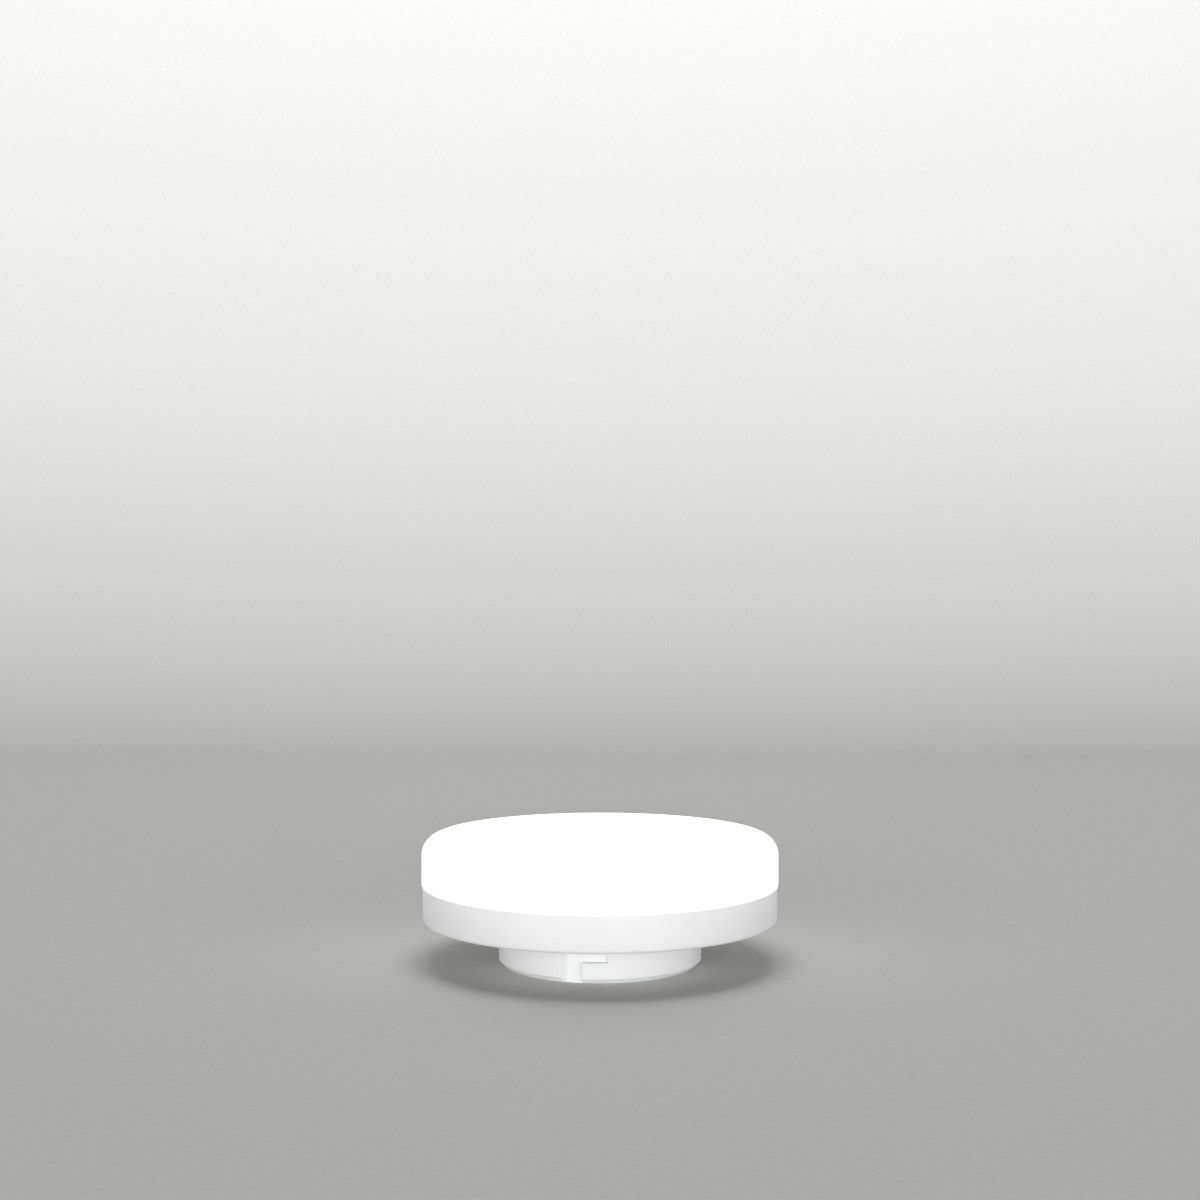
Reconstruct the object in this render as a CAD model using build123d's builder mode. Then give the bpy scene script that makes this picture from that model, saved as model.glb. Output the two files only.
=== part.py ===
from build123d import *
from math import cos, degrees, radians, sin
import os

# LED disc lamp with a two-pin twist-lock cap, cap down with the light upwards.
# Millimetres. The origin is the centre of the cap boss's flat end, +Z points to the light,
# and the two contact pins lie on the X axis.

# Outside of the lamp
lamp_diameter = 75.0  # across the diffuser, the widest piece
lamp_height = 27.0  # from the boss's flat end to the top of the diffuser
diffuser_edge = 4.0  # rounding of the diffuser's upper edge
housing_depth = 7.4  # from the back face to the rim that carries the diffuser
housing_edge = 0.8  # rounding of the housing's lower edge
rim_step = 0.2  # the housing's wall stands in from the diffuser's
boss_diameter = 42.7
boss_height = 9.3
boss_chamfer = 1.0

# Walls
diffuser_wall = 1.5
housing_wall = 1.8
back_wall = 1.6
boss_wall = 2.0
boss_end_wall = 1.8
bowl_corner = 1.0  # bevel inside the bowl, between its floor and its wall

# L-shaped keyways of the twist lock, two of them, half a turn apart
keyway_angle = 254.5  # middle of the first keyway's upright channel
keyway_width = 4.2
keyway_depth = 2.0  # at the back face; the floor runs out to the chamfer's foot at the boss's end
keyway_turn = 13.9  # degrees that the leg runs on past the channel
keyway_land = 4.2  # height of the leg's lower edge above the boss's end
keyway_lean = 0.7  # the channel's closed side leans out by this much over its depth
keyway_backing = 1.4  # wall left behind a keyway
keyway_margin = 2.0  # degrees of backing past each side of a keyway

# Contact pins
pin_spacing = 53.0
pin_length = 4.5  # below the back face
pin_head_diameter = 5.0
pin_head_height = 1.8
pin_head_edge = 0.5  # bevel of the head's outer edge
pin_neck_diameter = 3.0
pin_collar_diameter = 4.4
pin_collar_height = 0.6
pin_flare_diameter = 4.2
pin_flare_height = 0.4
pin_bore_depth = 3.0
pin_fit = 0.05  # gap around the pin in the back wall

# Snap hooks of the diffuser, and the pockets in the housing that they catch in
hook_count = 6
hook_arc = 12.0  # degrees
hook_thickness = 1.1
hook_length = 3.4  # below the rim
hook_root = 2.0  # height of the rib that joins a hook to the diffuser's wall
hook_barb = 0.5
hook_barb_height = 1.0
hook_fit = 0.1  # gap around a hook in the housing

# Heat spreader, LED board and the screws that hold both
post_height = 2.4
post_diameter = 4.4
spreader_sheet = 1.0
spreader_edge = 1.5  # bevel of the dish's upper edge
spreader_gap = 0.7  # between the dish and the diffuser's hooks
led_board_thickness = 1.0
led_board_margin = 1.6  # the board stands in from the dish's edge by this much
screw_count = 3
screw_circle_diameter = 46.0
screw_start_angle = 90.0
screw_diameter = 2.0
screw_length = 4.6
screw_point = 0.7
screw_head_diameter = 3.8
screw_head_height = 1.2
screw_head_edge = 0.4
screw_hole_diameter = 2.4
screw_fit = 0.05

# LED packages, in two rings
led_length = 3.5
led_width = 2.8
led_height = 0.7
led_taper = 6.0  # degrees, the moulded sides lean in
led_window_margin = 0.45  # frame around the sunk light window
led_window_depth = 0.15
led_outer_inset = 3.5  # from the board's edge to the outer ring
led_outer_count = 12
led_outer_angle = 15.0
led_ring_step = 15.5  # from the outer ring to the inner ring
led_inner_count = 6
led_inner_angle = 30.0

# Driver board, with its rests and catches in the boss
driver_board_thickness = 1.0
driver_board_fit = 0.25  # gap between the board and the keyways' backing
rest_height = 1.2  # above the boss's inner floor, room for the solder side
rest_bearing = 0.8  # the board lies on a rest by this much
rest_arc = 8.0
rest_count = 4
rest_angle = 45.0
catch_bearing = 0.3  # a catch reaches over the board by this much
catch_height = 0.9
catch_gap = 0.1
catch_turn = 22.5  # degrees from each catch to its rest

# Capacitors on the driver board, the input one lying down and the output one upright
input_capacitor_diameter = 6.3
input_capacitor_length = 11.0
input_capacitor_y = 9.2
output_capacitor_diameter = 6.3
output_capacitor_length = 7.0
output_capacitor_x = 8.0
output_capacitor_y = -7.0
capacitor_edge = 0.5
crimp_depth = 0.3
crimp_width = 0.8
crimp_place = 1.0  # from the capacitor's foot to the crimp
lying_gap = 0.05  # between a round body lying on the board and the board

# Drum choke
choke_diameter = 8.0
choke_height = 6.5
choke_flange = 1.1
choke_core_diameter = 4.0
choke_winding_diameter = 6.8
choke_x = -8.0
choke_y = -7.0
winding_fit = 0.05

# Flat packages with bent leads, and plain chip resistors
rectifier_length = 4.7
rectifier_width = 3.9
rectifier_lead_count = 2  # on each side
rectifier_pitch = 2.5
rectifier_x = 8.0
rectifier_y = 0.6
driver_chip_length = 4.9
driver_chip_width = 3.9
driver_chip_lead_count = 4  # on each side
driver_chip_pitch = 1.27
driver_chip_x = -8.0
driver_chip_y = 1.2
package_height = 1.4
package_lift = 0.1  # between a package and the board
package_edge = 0.2
lead_width = 0.45
lead_thickness = 0.2
lead_reach = 1.0  # past the package's side
lead_overlap = 0.3  # length of a lead inside the package
lead_rise = 0.6  # height at which the leads leave the package
chip_resistor_length = 3.2
chip_resistor_width = 1.6
chip_resistor_height = 0.6
chip_resistor_count = 3
chip_resistor_pitch = 2.4
chip_resistor_y = -6.0

# Fusible resistor on bent leads
fuse_diameter = 3.0
fuse_cap_diameter = 3.5
fuse_cap_length = 2.0
fuse_length = 9.0
fuse_lead_diameter = 0.6
fuse_lead_reach = 1.6  # from the body's end to the upright of the lead
fuse_y = -12.6

# Wires
wire_diameter = 1.0
wire_fit = 0.1  # gap around a wire in a pin's bore
mains_wire_tuck = 0.9  # length of the wire's end inside the pin's bore
mains_wire_bend = 1.2
mains_wire_drop = 13.5  # from the lamp's axis to where the wire turns down into the boss
mains_wire_drop_bend = 3.0
led_wire_spacing = 3.0
led_wire_bend = 2.0
led_wire_run = 5.0  # from the upright to the end on the LED board

# Levels and radii that follow from the sizes above
back_z = boss_height
floor_z = back_z + back_wall
rim_z = back_z + housing_depth
diffuser_height = lamp_height - rim_z
lamp_r = lamp_diameter / 2
housing_r = lamp_r - rim_step
bowl_r = housing_r - housing_wall
boss_r = boss_diameter / 2
cavity_r = boss_r - boss_wall
cavity_z = boss_end_wall
root_r = cavity_r + boss_wall / 2  # what is moulded onto the boss's inner wall starts here
root_z = boss_end_wall / 2
keyway_r = boss_r - keyway_depth
keyway_arc = degrees(keyway_width / boss_r)
keyway_start = keyway_angle - keyway_arc / 2
keyway_lean_arc = degrees(keyway_lean / keyway_r)
keyway_mouth_r = boss_r - boss_chamfer
backing_r = keyway_r - keyway_backing
backing_arc = keyway_arc + keyway_turn + 2 * keyway_margin
hook_outer_r = bowl_r - hook_fit
hook_inner_r = hook_outer_r - hook_thickness
hook_end_z = rim_z - hook_length
hook_catch_z = hook_end_z + hook_barb_height
hook_root_r = lamp_r - diffuser_wall / 2
hook_pitch = 360 / hook_count
pocket_side = degrees(hook_fit / bowl_r)
pocket_r = hook_outer_r + hook_barb + hook_fit
wire_r = wire_diameter / 2
wire_hole_r = led_wire_spacing / 2 + led_wire_bend
spreader_r = hook_inner_r - spreader_gap
spreader_under_z = floor_z + post_height
spreader_z = spreader_under_z + spreader_sheet
led_board_r = spreader_r - led_board_margin
led_board_z = spreader_z + led_board_thickness
led_outer_r = led_board_r - led_outer_inset
led_inner_r = led_outer_r - led_ring_step
screw_r = screw_circle_diameter / 2
driver_board_r = backing_r - driver_board_fit
driver_under_z = cavity_z + rest_height
driver_z = driver_under_z + driver_board_thickness
catch_z = driver_z + catch_gap
catch_top_z = catch_z + catch_height
pin_tip_z = back_z - pin_length
pin_head_z = pin_tip_z + pin_head_height
pin_collar_z = back_z - pin_collar_height
pin_top_z = floor_z + pin_flare_height
pin_bore_z = pin_top_z - pin_bore_depth
mains_wire_start_z = pin_top_z - mains_wire_tuck
mains_wire_z = (pin_top_z + spreader_under_z) / 2
led_wire_z = led_board_z + lying_gap + wire_r


def section_plane(angle):
    """Upright plane through the lamp's axis: x points outwards at that angle, y points up."""
    a = radians(angle)
    return Plane(origin=(0, 0, 0), x_dir=(cos(a), sin(a), 0), z_dir=(sin(a), -cos(a), 0))


def ring_section(angle, inner_r, outer_r, low_z, high_z):
    """Rectangle on the section plane at that angle, to be turned into a block of a ring."""
    with BuildSketch(section_plane(angle)) as section:
        with Locations(((inner_r + outer_r) / 2, (low_z + high_z) / 2)):
            Rectangle(outer_r - inner_r, high_z - low_z)
    return section.sketch


def plan_point(radius, angle):
    """Point of the plan at that distance from the lamp's axis and that angle."""
    return (radius * cos(radians(angle)), radius * sin(radians(angle)))


def keyway_section(angle, low_z):
    """Section of the space in a keyway at that angle, from a height up to the back face."""
    floor_r = keyway_mouth_r - (keyway_mouth_r - keyway_r) * low_z / back_z
    with BuildSketch(section_plane(angle)) as section:
        with BuildLine():
            Polyline(
                (floor_r, low_z),
                (lamp_r, low_z),
                (lamp_r, back_z),
                (keyway_r, back_z),
                close=True,
            )
        make_face()
    return section.sketch


os.makedirs("parts", exist_ok=True)

# The space in one keyway: an upright channel whose closed side leans out, and a leg to its right
with BuildPart() as keyway:
    revolve(keyway_section(keyway_start, 0), axis=Axis.Z, revolution_arc=keyway_arc)
    with BuildSketch():
        with BuildLine():
            Polyline(
                plan_point(boss_r, keyway_start),
                plan_point(keyway_r, keyway_start + keyway_lean_arc),
                plan_point(keyway_r, keyway_start),
                close=True,
            )
        make_face()
    extrude(amount=back_z, mode=Mode.SUBTRACT)
    leg = keyway_section(keyway_start + keyway_arc, keyway_land)
    revolve(leg, axis=Axis.Z, revolution_arc=keyway_turn)

# Housing: one moulding, the bowl with its back wall and the hollow cap boss
with BuildPart() as housing:
    with BuildSketch(Plane.XZ):
        with BuildLine():
            Polyline(
                (0, 0),
                (boss_r, 0),
                (boss_r, back_z),
                (housing_r, back_z),
                (housing_r, rim_z),
                (bowl_r, rim_z),
                (bowl_r, floor_z),
                (cavity_r, floor_z),
                (cavity_r, cavity_z),
                (0, cavity_z),
                close=True,
            )
        make_face()
    revolve(axis=Axis.Z)
    chamfer(housing.edges().sort_by(Axis.Z)[0], length=boss_chamfer)
    back_edges = housing.edges().filter_by_position(Axis.Z, back_z, back_z)
    fillet(back_edges.sort_by(SortBy.RADIUS)[-1], radius=housing_edge)
    floor_edges = housing.edges().filter_by_position(Axis.Z, floor_z, floor_z)
    chamfer(floor_edges.sort_by(SortBy.RADIUS)[-1], length=bowl_corner)

    # rests under the driver board, and catches that it snaps past
    for n in range(rest_count):
        rest_start = rest_angle + n * 360 / rest_count - rest_arc / 2
        rest = ring_section(rest_start, driver_board_r - rest_bearing, root_r, root_z, driver_under_z)
        revolve(rest, axis=Axis.Z, revolution_arc=rest_arc)
        catch_inner_r = driver_board_r - catch_bearing
        catch = ring_section(rest_start - catch_turn, catch_inner_r, root_r, catch_z, catch_top_z)
        revolve(catch, axis=Axis.Z, revolution_arc=rest_arc)

    # screw posts with their pilot holes
    with BuildSketch(Plane.XY.offset(floor_z)):
        with PolarLocations(screw_r, screw_count, start_angle=screw_start_angle):
            Circle(post_diameter / 2)
    extrude(amount=post_height)
    with BuildSketch(Plane.XY.offset(spreader_under_z)):
        with PolarLocations(screw_r, screw_count, start_angle=screw_start_angle):
            Circle(screw_diameter / 2 + screw_fit)
    extrude(amount=led_board_z - spreader_under_z - screw_length - screw_fit, mode=Mode.SUBTRACT)

    # keyways: the wall is thickened behind each one before it is cut
    for half_turn in (0, 180):
        backing_start = keyway_start - keyway_margin + half_turn
        backing = ring_section(backing_start, backing_r, root_r, root_z, floor_z)
        revolve(backing, axis=Axis.Z, revolution_arc=backing_arc)
        add(keyway.part, rotation=(0, 0, half_turn), mode=Mode.SUBTRACT)

    # holes for the contact pins
    with BuildSketch(Plane.XY.offset(floor_z)):
        with GridLocations(pin_spacing, 0, 2, 1):
            Circle(pin_neck_diameter / 2 + pin_fit)
    extrude(amount=-back_wall, mode=Mode.SUBTRACT)

    # pockets that the diffuser's snap hooks catch in
    for n in range(hook_count):
        pocket_start = n * hook_pitch - hook_arc / 2 - pocket_side
        pocket = ring_section(
            pocket_start, hook_outer_r, pocket_r, hook_end_z - hook_fit, hook_catch_z + hook_fit
        )
        revolve(pocket, axis=Axis.Z, revolution_arc=hook_arc + 2 * pocket_side, mode=Mode.SUBTRACT)
housing.part.label = "housing"
export_step(housing.part, "parts/housing.step")

# Diffuser: opal cap of even wall, with snap hooks inside its rim
with BuildPart() as diffuser:
    with BuildSketch(Plane.XY.offset(rim_z)):
        Circle(lamp_r)
    extrude(amount=diffuser_height)
    fillet(diffuser.edges().sort_by(Axis.Z)[-1], radius=diffuser_edge)
    offset(amount=-diffuser_wall, openings=diffuser.faces().sort_by(Axis.Z)[0])
    for n in range(hook_count):
        with BuildSketch(section_plane(n * hook_pitch - hook_arc / 2)):
            with BuildLine():
                Polyline(
                    (hook_inner_r, hook_end_z),
                    (hook_outer_r, hook_end_z),
                    (hook_outer_r + hook_barb, hook_catch_z),
                    (hook_outer_r, hook_catch_z),
                    (hook_outer_r, rim_z),
                    (hook_root_r, rim_z),
                    (hook_root_r, rim_z + hook_root),
                    (hook_inner_r, rim_z + hook_root),
                    close=True,
                )
            make_face()
        revolve(axis=Axis.Z, revolution_arc=hook_arc)
diffuser.part.label = "diffuser"
export_step(diffuser.part, "parts/diffuser.step")

# Heat spreader: drawn dish whose skirt stands on the bowl's floor
with BuildPart() as heat_spreader:
    with BuildSketch(Plane.XY.offset(floor_z)):
        Circle(spreader_r)
    extrude(amount=spreader_z - floor_z)
    chamfer(heat_spreader.edges().sort_by(Axis.Z)[-1], length=spreader_edge)
    offset(amount=-spreader_sheet, openings=heat_spreader.faces().sort_by(Axis.Z)[0])
    with BuildSketch(Plane.XY.offset(spreader_under_z)):
        Circle(wire_hole_r)
        with PolarLocations(screw_r, screw_count, start_angle=screw_start_angle):
            Circle(screw_hole_diameter / 2)
    extrude(amount=spreader_sheet, mode=Mode.SUBTRACT)
heat_spreader.part.label = "heat_spreader"
export_step(heat_spreader.part, "parts/heat_spreader.step")

# LED board: round metal-core board on the dish
with BuildPart() as led_board:
    with BuildSketch(Plane.XY.offset(spreader_z)):
        Circle(led_board_r)
        Circle(wire_hole_r, mode=Mode.SUBTRACT)
        with PolarLocations(screw_r, screw_count, start_angle=screw_start_angle):
            Circle(screw_hole_diameter / 2, mode=Mode.SUBTRACT)
    extrude(amount=led_board_thickness)
led_board.part.label = "led_board"
export_step(led_board.part, "parts/led_board.step")

# LED packages: moulded frames with a sunk light window each
led_window_width = led_width - 2 * led_window_margin
led_window_length = led_length - 2 * led_window_margin
with BuildPart() as led_packages:
    with BuildSketch(Plane.XY.offset(led_board_z)):
        with PolarLocations(led_outer_r, led_outer_count, start_angle=led_outer_angle):
            Rectangle(led_width, led_length)
        with PolarLocations(led_inner_r, led_inner_count, start_angle=led_inner_angle):
            Rectangle(led_width, led_length)
    extrude(amount=led_height, taper=led_taper)
    with BuildSketch(Plane.XY.offset(led_board_z + led_height)):
        with PolarLocations(led_outer_r, led_outer_count, start_angle=led_outer_angle):
            Rectangle(led_window_width, led_window_length)
        with PolarLocations(led_inner_r, led_inner_count, start_angle=led_inner_angle):
            Rectangle(led_window_width, led_window_length)
    extrude(amount=-led_window_depth, mode=Mode.SUBTRACT)
led_packages.part.label = "led_packages"
export_step(led_packages.part, "parts/led_packages.step")

# Board screws: through the LED board and the dish into the housing's posts
with BuildPart() as board_screws:
    with BuildSketch(Plane.XY.offset(led_board_z)):
        with PolarLocations(screw_r, screw_count, start_angle=screw_start_angle):
            Circle(screw_head_diameter / 2)
    extrude(amount=screw_head_height)
    chamfer(board_screws.edges().group_by(Axis.Z)[-1], length=screw_head_edge)
    with BuildSketch(Plane.XY.offset(led_board_z)):
        with PolarLocations(screw_r, screw_count, start_angle=screw_start_angle):
            Circle(screw_diameter / 2)
    extrude(amount=-screw_length)
    chamfer(board_screws.edges().group_by(Axis.Z)[0], length=screw_point)
board_screws.part.label = "board_screws"
export_step(board_screws.part, "parts/board_screws.step")

# Contact pins, riveted into the back wall, and the wires from their bores to the driver board
for side, sign in (("left", -1), ("right", 1)):
    pin_x = sign * pin_spacing / 2
    drop_x = sign * mains_wire_drop
    with BuildPart() as contact_pin:
        with BuildSketch(Plane.XZ):
            with BuildLine():
                Polyline(
                    (pin_x, pin_tip_z),
                    (pin_x + pin_head_diameter / 2, pin_tip_z),
                    (pin_x + pin_head_diameter / 2, pin_head_z),
                    (pin_x + pin_neck_diameter / 2, pin_head_z),
                    (pin_x + pin_neck_diameter / 2, pin_collar_z),
                    (pin_x + pin_collar_diameter / 2, pin_collar_z),
                    (pin_x + pin_collar_diameter / 2, back_z),
                    (pin_x + pin_neck_diameter / 2, back_z),
                    (pin_x + pin_neck_diameter / 2, floor_z),
                    (pin_x + pin_flare_diameter / 2, floor_z),
                    (pin_x + pin_flare_diameter / 2, pin_top_z),
                    (pin_x + wire_r + wire_fit, pin_top_z),
                    (pin_x + wire_r + wire_fit, pin_bore_z),
                    (pin_x, pin_bore_z),
                    close=True,
                )
            make_face()
        revolve(axis=Axis((pin_x, 0, 0), (0, 0, 1)))
        chamfer(contact_pin.edges().sort_by(Axis.Z)[0], length=pin_head_edge)
    contact_pin.part.label = f"contact_pin_{side}"
    export_step(contact_pin.part, f"parts/contact_pin_{side}.step")

    with BuildPart() as mains_wire:
        with BuildLine():
            FilletPolyline(
                (pin_x, 0, mains_wire_start_z),
                (pin_x, 0, mains_wire_z),
                (drop_x, 0, mains_wire_z),
                (drop_x, 0, driver_z),
                radius=[mains_wire_bend, mains_wire_drop_bend],
            )
        with BuildSketch(Plane.XY.offset(mains_wire_start_z)):
            with Locations((pin_x, 0)):
                Circle(wire_r)
        sweep()
    mains_wire.part.label = f"mains_wire_{side}"
    export_step(mains_wire.part, f"parts/mains_wire_{side}.step")

# Wires from the driver board up through the dish to the LED board
for pole, sign in (("positive", 1), ("negative", -1)):
    upright_x = sign * led_wire_spacing / 2
    with BuildPart() as led_wire:
        with BuildLine():
            FilletPolyline(
                (upright_x, 0, driver_z),
                (upright_x, 0, led_wire_z),
                (upright_x + sign * led_wire_run, 0, led_wire_z),
                radius=led_wire_bend,
            )
        with BuildSketch(Plane.XY.offset(driver_z)):
            with Locations((upright_x, 0)):
                Circle(wire_r)
        sweep()
    led_wire.part.label = f"led_wire_{pole}"
    export_step(led_wire.part, f"parts/led_wire_{pole}.step")

# Driver board: round board on the rests in the boss
with BuildPart() as driver_board:
    with BuildSketch(Plane.XY.offset(driver_under_z)):
        Circle(driver_board_r)
    extrude(amount=driver_board_thickness)
driver_board.part.label = "driver_board"
export_step(driver_board.part, "parts/driver_board.step")


def capacitor(foot, diameter, length):
    """Aluminium can with bevelled ends and a crimp near its foot, rising along the foot plane's z."""
    with BuildPart() as can:
        with BuildSketch(foot):
            Circle(diameter / 2)
        extrude(amount=length)
        chamfer(can.edges().filter_by(GeomType.CIRCLE), length=capacitor_edge)
        with BuildSketch(foot.offset(crimp_place)):
            Circle(diameter / 2)
            Circle(diameter / 2 - crimp_depth, mode=Mode.SUBTRACT)
        extrude(amount=crimp_width, mode=Mode.SUBTRACT)
    return can


input_capacitor_z = driver_z + lying_gap + input_capacitor_diameter / 2
lying_foot = Plane(
    origin=(-input_capacitor_length / 2, input_capacitor_y, input_capacitor_z),
    x_dir=(0, 1, 0),
    z_dir=(1, 0, 0),
)
input_capacitor = capacitor(lying_foot, input_capacitor_diameter, input_capacitor_length)
input_capacitor.part.label = "input_capacitor"
export_step(input_capacitor.part, "parts/input_capacitor.step")

upright_foot = Plane(origin=(output_capacitor_x, output_capacitor_y, driver_z))
output_capacitor = capacitor(upright_foot, output_capacitor_diameter, output_capacitor_length)
output_capacitor.part.label = "output_capacitor"
export_step(output_capacitor.part, "parts/output_capacitor.step")

# Drum choke: ferrite bobbin with its winding between the flanges
with BuildPart() as choke_core:
    with BuildSketch(Plane.XY.offset(driver_z)):
        with Locations((choke_x, choke_y)):
            Circle(choke_diameter / 2)
    extrude(amount=choke_height)
    with BuildSketch(Plane.XY.offset(driver_z + choke_flange)):
        with Locations((choke_x, choke_y)):
            Circle(choke_diameter / 2)
            Circle(choke_core_diameter / 2, mode=Mode.SUBTRACT)
    extrude(amount=choke_height - 2 * choke_flange, mode=Mode.SUBTRACT)
choke_core.part.label = "choke_core"
export_step(choke_core.part, "parts/choke_core.step")

with BuildPart() as choke_winding:
    with BuildSketch(Plane.XY.offset(driver_z + choke_flange + winding_fit)):
        with Locations((choke_x, choke_y)):
            Circle(choke_winding_diameter / 2)
            Circle(choke_core_diameter / 2 + winding_fit, mode=Mode.SUBTRACT)
    extrude(amount=choke_height - 2 * choke_flange - 2 * winding_fit)
choke_winding.part.label = "choke_winding"
export_step(choke_winding.part, "parts/choke_winding.step")


def flat_package(x, y, length, width, leads_a_side, pitch):
    """Moulded package along X with bent leads on both long sides, standing on the driver board."""
    with BuildPart() as package:
        with BuildSketch(Plane.XY.offset(driver_z + package_lift)):
            with Locations((x, y)):
                Rectangle(length, width)
        extrude(amount=package_height)
        chamfer(package.edges().group_by(Axis.Z)[-1], length=package_edge)
        knee = (lead_reach - lead_thickness) / 2
        low_z = driver_z + lead_rise
        for n in range(leads_a_side):
            lead_x = x + (n - (leads_a_side - 1) / 2) * pitch
            for facing in (-1, 1):
                side_y = y + facing * width / 2
                knee_y = side_y + facing * knee
                outer_knee_y = knee_y + facing * lead_thickness
                inner_y = side_y - facing * lead_overlap
                toe_y = side_y + facing * lead_reach
                with BuildSketch(Plane.YZ.offset(lead_x)):
                    with BuildLine():
                        Polyline(
                            (inner_y, low_z),
                            (knee_y, low_z),
                            (knee_y, driver_z),
                            (toe_y, driver_z),
                            (toe_y, driver_z + lead_thickness),
                            (outer_knee_y, driver_z + lead_thickness),
                            (outer_knee_y, low_z + lead_thickness),
                            (inner_y, low_z + lead_thickness),
                            close=True,
                        )
                    make_face()
                extrude(amount=lead_width / 2, both=True)
    return package


bridge_rectifier = flat_package(
    rectifier_x,
    rectifier_y,
    rectifier_length,
    rectifier_width,
    rectifier_lead_count,
    rectifier_pitch,
)
bridge_rectifier.part.label = "bridge_rectifier"
export_step(bridge_rectifier.part, "parts/bridge_rectifier.step")

driver_chip = flat_package(
    driver_chip_x,
    driver_chip_y,
    driver_chip_length,
    driver_chip_width,
    driver_chip_lead_count,
    driver_chip_pitch,
)
driver_chip.part.label = "driver_chip"
export_step(driver_chip.part, "parts/driver_chip.step")

# Chip resistors in a row on the driver board
with BuildPart() as chip_resistors:
    with BuildSketch(Plane.XY.offset(driver_z)):
        with Locations((0, chip_resistor_y)):
            with GridLocations(0, chip_resistor_pitch, 1, chip_resistor_count):
                Rectangle(chip_resistor_length, chip_resistor_width)
    extrude(amount=chip_resistor_height)
chip_resistors.part.label = "chip_resistors"
export_step(chip_resistors.part, "parts/chip_resistors.step")

# Fusible resistor: capped body lying just over the board, its leads bent down to it
fuse_z = driver_z + lying_gap + fuse_cap_diameter / 2
fuse_lead_x = fuse_length / 2 + fuse_lead_reach
with BuildPart() as fuse_resistor:
    with BuildSketch(Plane(origin=(0, fuse_y, fuse_z), x_dir=(0, 1, 0), z_dir=(1, 0, 0))):
        Circle(fuse_diameter / 2)
    extrude(amount=fuse_length / 2, both=True)
    for sign in (-1, 1):
        end_x = sign * fuse_length / 2
        body_end = Plane(origin=(end_x, fuse_y, fuse_z), x_dir=(0, 1, 0), z_dir=(-sign, 0, 0))
        with BuildSketch(body_end):
            Circle(fuse_cap_diameter / 2)
        extrude(amount=fuse_cap_length)
        with BuildLine():
            Polyline(
                (end_x, fuse_y, fuse_z),
                (sign * fuse_lead_x, fuse_y, fuse_z),
                (sign * fuse_lead_x, fuse_y, driver_z),
            )
        with BuildSketch(body_end):
            Circle(fuse_lead_diameter / 2)
        sweep(transition=Transition.RIGHT)
fuse_resistor.part.label = "fuse_resistor"
export_step(fuse_resistor.part, "parts/fuse_resistor.step")
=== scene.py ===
# %% [markdown]
# # LED disc lamp
# A flat round lamp with a two-pin twist-lock cap, lit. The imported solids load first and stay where
# they are. The three kinds of piece that show from outside, the housing, the diffuser and the
# contact pins, are modelled again here with soft edges, because a dead sharp edge catches no light.
# The pieces inside keep their solids, and every piece gets its finish.
# Lengths below are in millimetres and are turned to metres where they meet Blender.

from math import cos, degrees, pi, radians, sin

import bmesh
import bpy
from mathutils import Matrix, Vector


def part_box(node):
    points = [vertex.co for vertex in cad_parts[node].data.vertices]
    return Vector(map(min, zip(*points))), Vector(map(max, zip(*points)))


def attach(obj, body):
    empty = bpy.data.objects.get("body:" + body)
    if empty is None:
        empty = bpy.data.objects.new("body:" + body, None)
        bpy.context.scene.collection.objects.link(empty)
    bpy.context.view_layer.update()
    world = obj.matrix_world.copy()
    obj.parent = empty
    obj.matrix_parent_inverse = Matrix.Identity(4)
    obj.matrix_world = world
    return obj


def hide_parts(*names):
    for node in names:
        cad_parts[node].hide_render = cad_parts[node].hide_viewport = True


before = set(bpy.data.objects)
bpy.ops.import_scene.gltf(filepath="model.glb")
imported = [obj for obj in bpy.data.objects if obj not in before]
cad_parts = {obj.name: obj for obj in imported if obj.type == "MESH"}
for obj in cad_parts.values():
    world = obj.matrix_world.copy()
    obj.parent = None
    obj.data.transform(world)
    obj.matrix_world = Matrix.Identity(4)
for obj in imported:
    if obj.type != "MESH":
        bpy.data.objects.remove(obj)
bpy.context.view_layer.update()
MM = 0.001

# %% [markdown]
# ## Camera
# The photograph looks level at the lamp from the front, from a little above it, so the lamp sits
# low in the picture. A tilt would lean the upright walls, and a shift would also move every other
# view, so the camera is simply placed that high and left level and unshifted.

# %% Camera
camera_distance = 349.2
camera_height = 76.3
camera_data = bpy.data.cameras.new("camera")
camera_data.lens = 49.57
camera_data.sensor_width = 36.0
camera = bpy.data.objects.new("camera", camera_data)
camera.location = (0, -camera_distance * MM, camera_height * MM)
camera.rotation_euler = (pi / 2, 0, 0)
bpy.context.scene.collection.objects.link(camera)
bpy.context.scene.camera = camera
print("camera lens:", camera_data.lens)

# %% [markdown]
# ## Shared helpers
# A moulded round piece is a profile turned about the lamp's axis. Where keyways, hooks or
# pockets change the profile, the circle is cut into sectors: each sector spins its own profile,
# the sectors are merged, and the flat side walls that are still missing are filled. A Boolean
# cut would also work, but this leaves clean rows of faces that bevel well.

# %% Turned pieces
STEP = 1.0  # degrees of turn to a face
SMALL_STEP = 5.0  # the same, on pins, posts and holes
MERGE = 1e-6  # metres
BEVELLED = radians(25)  # edges sharper than this may be rounded
CREASE = radians(40)  # edges sharper than this stay crisp


def arc_points(centre, radius, start, end, count):
    """Points of (radius, height) along a quarter round or part of one, angles in degrees."""
    angles = [radians(start + (end - start) * n / count) for n in range(count + 1)]
    return [(centre[0] + radius * cos(a), centre[1] + radius * sin(a)) for a in angles]


def within(angle, arcs):
    """Whether an angle lies in one of these (start, sweep) arcs."""
    return any((angle - start) % 360 < sweep for start, sweep in arcs)


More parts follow.
